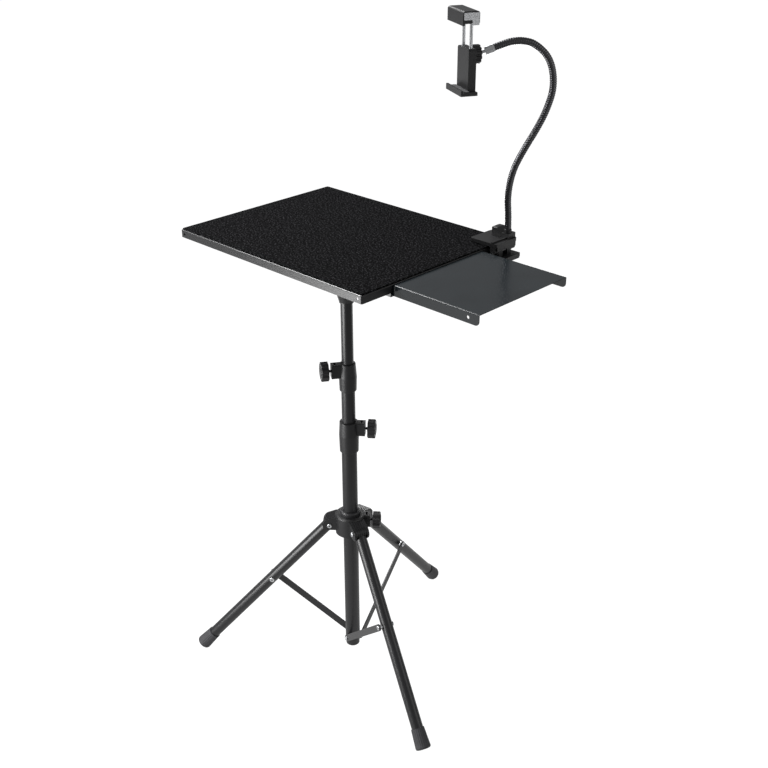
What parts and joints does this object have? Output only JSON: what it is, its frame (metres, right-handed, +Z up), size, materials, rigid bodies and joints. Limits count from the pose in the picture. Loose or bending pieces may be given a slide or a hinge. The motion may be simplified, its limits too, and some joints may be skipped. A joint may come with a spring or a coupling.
{
  "type": "laptop table",
  "caption": "Folding floor-standing laptop table: tripod base, telescoping column, padded steel tray, slide-out mouse tray and a clip-on holder on a bendable neck.",
  "frame": {"origin": "on the floor, under the middle of the whole table's box", "axes": "+Z up, +X to the right of the person who sits at the table, +Y away from them"},
  "size_m": [0.549, 0.4544, 1.0982],
  "materials": {
    "powder_coated_steel": "satin black powder coat",
    "mouse_tray_enamel": "satin dark grey powder coat",
    "zinc_plated_steel": "bright zinc plate",
    "black_plastic": "moulded, fine matt texture",
    "acetal_bush": "moulded, satin",
    "black_rubber": "moulded, matt",
    "neck_sleeve": "ribbed black sleeve",
    "eva_foam": "closed-cell foam sheet, speckled matt"
  },
  "bodies": {
    "column": {"outer_tube": "powder_coated_steel", "bottom_plug": "black_plastic", "brace_foot_rivets": "zinc_plated_steel", "lower_collar": "black_plastic", "lower_nut": "zinc_plated_steel"},
    "hub": {"hub_body": "black_plastic", "hub_bush": "acetal_bush", "hub_leg_rivets": "zinc_plated_steel", "hub_nut": "zinc_plated_steel"},
    "hub_knob": {"hub_knob": "black_plastic", "hub_screw": "zinc_plated_steel"},
    "lower_knob": {"lower_knob": "black_plastic", "lower_screw": "zinc_plated_steel"},
    "upper_knob": {"upper_knob": "black_plastic", "upper_screw": "zinc_plated_steel"},
    "middle": {"middle_tube": "powder_coated_steel", "middle_tube_plug": "black_plastic", "upper_collar": "black_plastic", "upper_nut": "zinc_plated_steel"},
    "inner": {"inner_tube": "powder_coated_steel", "inner_tube_plug": "black_plastic"},
    "tray": {"tray_socket": "black_plastic", "socket_screws": "zinc_plated_steel", "tray_pan": "powder_coated_steel", "foam_pad": "eva_foam", "front_rail": "powder_coated_steel", "rear_rail": "powder_coated_steel", "rail_rivets": "zinc_plated_steel", "clip_upper_arm": "black_plastic", "clip_upper_pad": "black_rubber", "clip_pin": "zinc_plated_steel", "clip_spring": "zinc_plated_steel", "neck_base_ferrule": "black_plastic", "neck": "neck_sleeve", "ball_stud": "zinc_plated_steel"},
    "mouse_tray": {"mouse_tray": "mouse_tray_enamel"},
    "clip_lower": {"clip_lower_arm": "black_plastic", "clip_lower_pad": "black_rubber"},
    "ball_ring": {"ball_lock_ring": "black_plastic"},
    "holder": {"holder_body": "black_plastic", "holder_lower_grip": "black_rubber"},
    "holder_jaw": {"holder_upper_jaw": "black_plastic", "holder_rods": "zinc_plated_steel", "holder_upper_grip": "black_rubber"},
    "front_leg": {"front_leg": "powder_coated_steel", "front_foot": "black_rubber", "front_leg_rivet": "zinc_plated_steel"},
    "front_brace": {"front_brace": "powder_coated_steel", "front_brace_rivet": "zinc_plated_steel"},
    "rear_leg": {"rear_leg": "powder_coated_steel", "rear_foot": "black_rubber", "rear_leg_rivet": "zinc_plated_steel"},
    "rear_brace": {"rear_brace": "powder_coated_steel", "rear_brace_rivet": "zinc_plated_steel"},
    "left_leg": {"left_leg": "powder_coated_steel", "left_foot": "black_rubber", "left_leg_rivet": "zinc_plated_steel"},
    "left_brace": {"left_brace": "powder_coated_steel", "left_brace_rivet": "zinc_plated_steel"}
  },
  "joints": [
    {"name": "hub_slide", "type": "slide", "parent": "column", "child": "hub", "axis": [0, 0, 1], "range_m": [0, 0.09239]},
    {"name": "front_leg_fold", "type": "hinge", "parent": "hub", "child": "front_leg", "pos_m": [-0.02854, -0.05583, 0.27204], "axis": [0.3387, 0.9409, 0], "range_deg": [0, 38.2]},
    {"name": "front_brace_fold", "type": "hinge", "parent": "column", "child": "front_brace", "pos_m": [-0.0597, -0.05971, 0.0385], "axis": [-0.3387, -0.9409, 0], "range_deg": [0, 36.14]},
    {"name": "rear_leg_fold", "type": "hinge", "parent": "hub", "child": "rear_leg", "pos_m": [-0.06655, -0.01085, 0.27204], "axis": [-0.9842, -0.1771, 0], "range_deg": [0, 38.2]},
    {"name": "rear_brace_fold", "type": "hinge", "parent": "column", "child": "rear_brace", "pos_m": [-0.04762, -0.03589, 0.0385], "axis": [0.9842, 0.1771, 0], "range_deg": [0, 36.14]},
    {"name": "left_leg_fold", "type": "hinge", "parent": "hub", "child": "left_leg", "pos_m": [-0.0865, -0.06626, 0.27204], "axis": [0.6455, -0.7638, 0], "range_deg": [0, 38.2]},
    {"name": "left_brace_fold", "type": "hinge", "parent": "column", "child": "left_brace", "pos_m": [-0.07428, -0.03734, 0.0385], "axis": [-0.6455, 0.7638, 0], "range_deg": [0, 36.14]},
    {"name": "hub_knob_turn", "type": "hinge", "parent": "hub", "child": "hub_knob", "pos_m": [-0.04037, -0.02727, 0.27954], "axis": [0.7638, 0.6455, 0], "range_deg": [0, 360]},
    {"name": "lower_knob_turn", "type": "hinge", "parent": "column", "child": "lower_knob", "pos_m": [-0.03973, -0.02806, 0.452], "axis": [0.788, 0.6157, 0], "range_deg": [0, 360]},
    {"name": "upper_knob_turn", "type": "hinge", "parent": "middle", "child": "upper_knob", "pos_m": [-0.0753, -0.0662, 0.5545], "axis": [-0.5592, -0.829, 0], "range_deg": [0, 360]},
    {"name": "middle_slide", "type": "slide", "parent": "column", "child": "middle", "axis": [0, 0, 1], "range_m": [-0.0535, 0.24]},
    {"name": "inner_slide", "type": "slide", "parent": "middle", "child": "inner", "axis": [0, 0, 1], "range_m": [-0.1, 0.149]},
    {"name": "tray_swivel", "type": "hinge", "parent": "inner", "child": "tray", "pos_m": [-0.06053, -0.04431, 0.765], "axis": [0, 0, 1], "continuous": true},
    {"name": "mouse_tray_slide", "type": "slide", "parent": "tray", "child": "mouse_tray", "axis": [1, 0, 0], "range_m": [-0.097, 0]},
    {"name": "clip_open", "type": "hinge", "parent": "tray", "child": "clip_lower", "pos_m": [0.13847, 0.07469, 0.77075], "axis": [0, -1, 0], "range_deg": [0, 18], "stiffness_Nm_per_rad": 0.5, "springref_deg": -17.19},
    {"name": "holder_tilt", "type": "hinge", "parent": "tray", "child": "ball_ring", "pos_m": [0.09747, 0.05174, 1.03896], "axis": [0.8829, -0.4695, 0], "range_deg": [-12, 12]},
    {"name": "holder_roll", "type": "hinge", "parent": "ball_ring", "child": "holder", "pos_m": [0.09747, 0.05174, 1.03896], "axis": [0.4695, 0.8829, 0], "range_deg": [-90, 90]},
    {"name": "holder_jaw_slide", "type": "slide", "parent": "holder", "child": "holder_jaw", "axis": [0, 0, 1], "range_m": [-0.033, 0.004]}
  ],
  "couplings": [
    {"joint": "front_leg_fold", "follows": "hub_slide", "rad_per_m": 7.2163},
    {"joint": "front_brace_fold", "follows": "hub_slide", "rad_per_m": 6.8271},
    {"joint": "rear_leg_fold", "follows": "hub_slide", "rad_per_m": 7.2163},
    {"joint": "rear_brace_fold", "follows": "hub_slide", "rad_per_m": 6.8271},
    {"joint": "left_leg_fold", "follows": "hub_slide", "rad_per_m": 7.2163},
    {"joint": "left_brace_fold", "follows": "hub_slide", "rad_per_m": 6.8271}
  ]
}
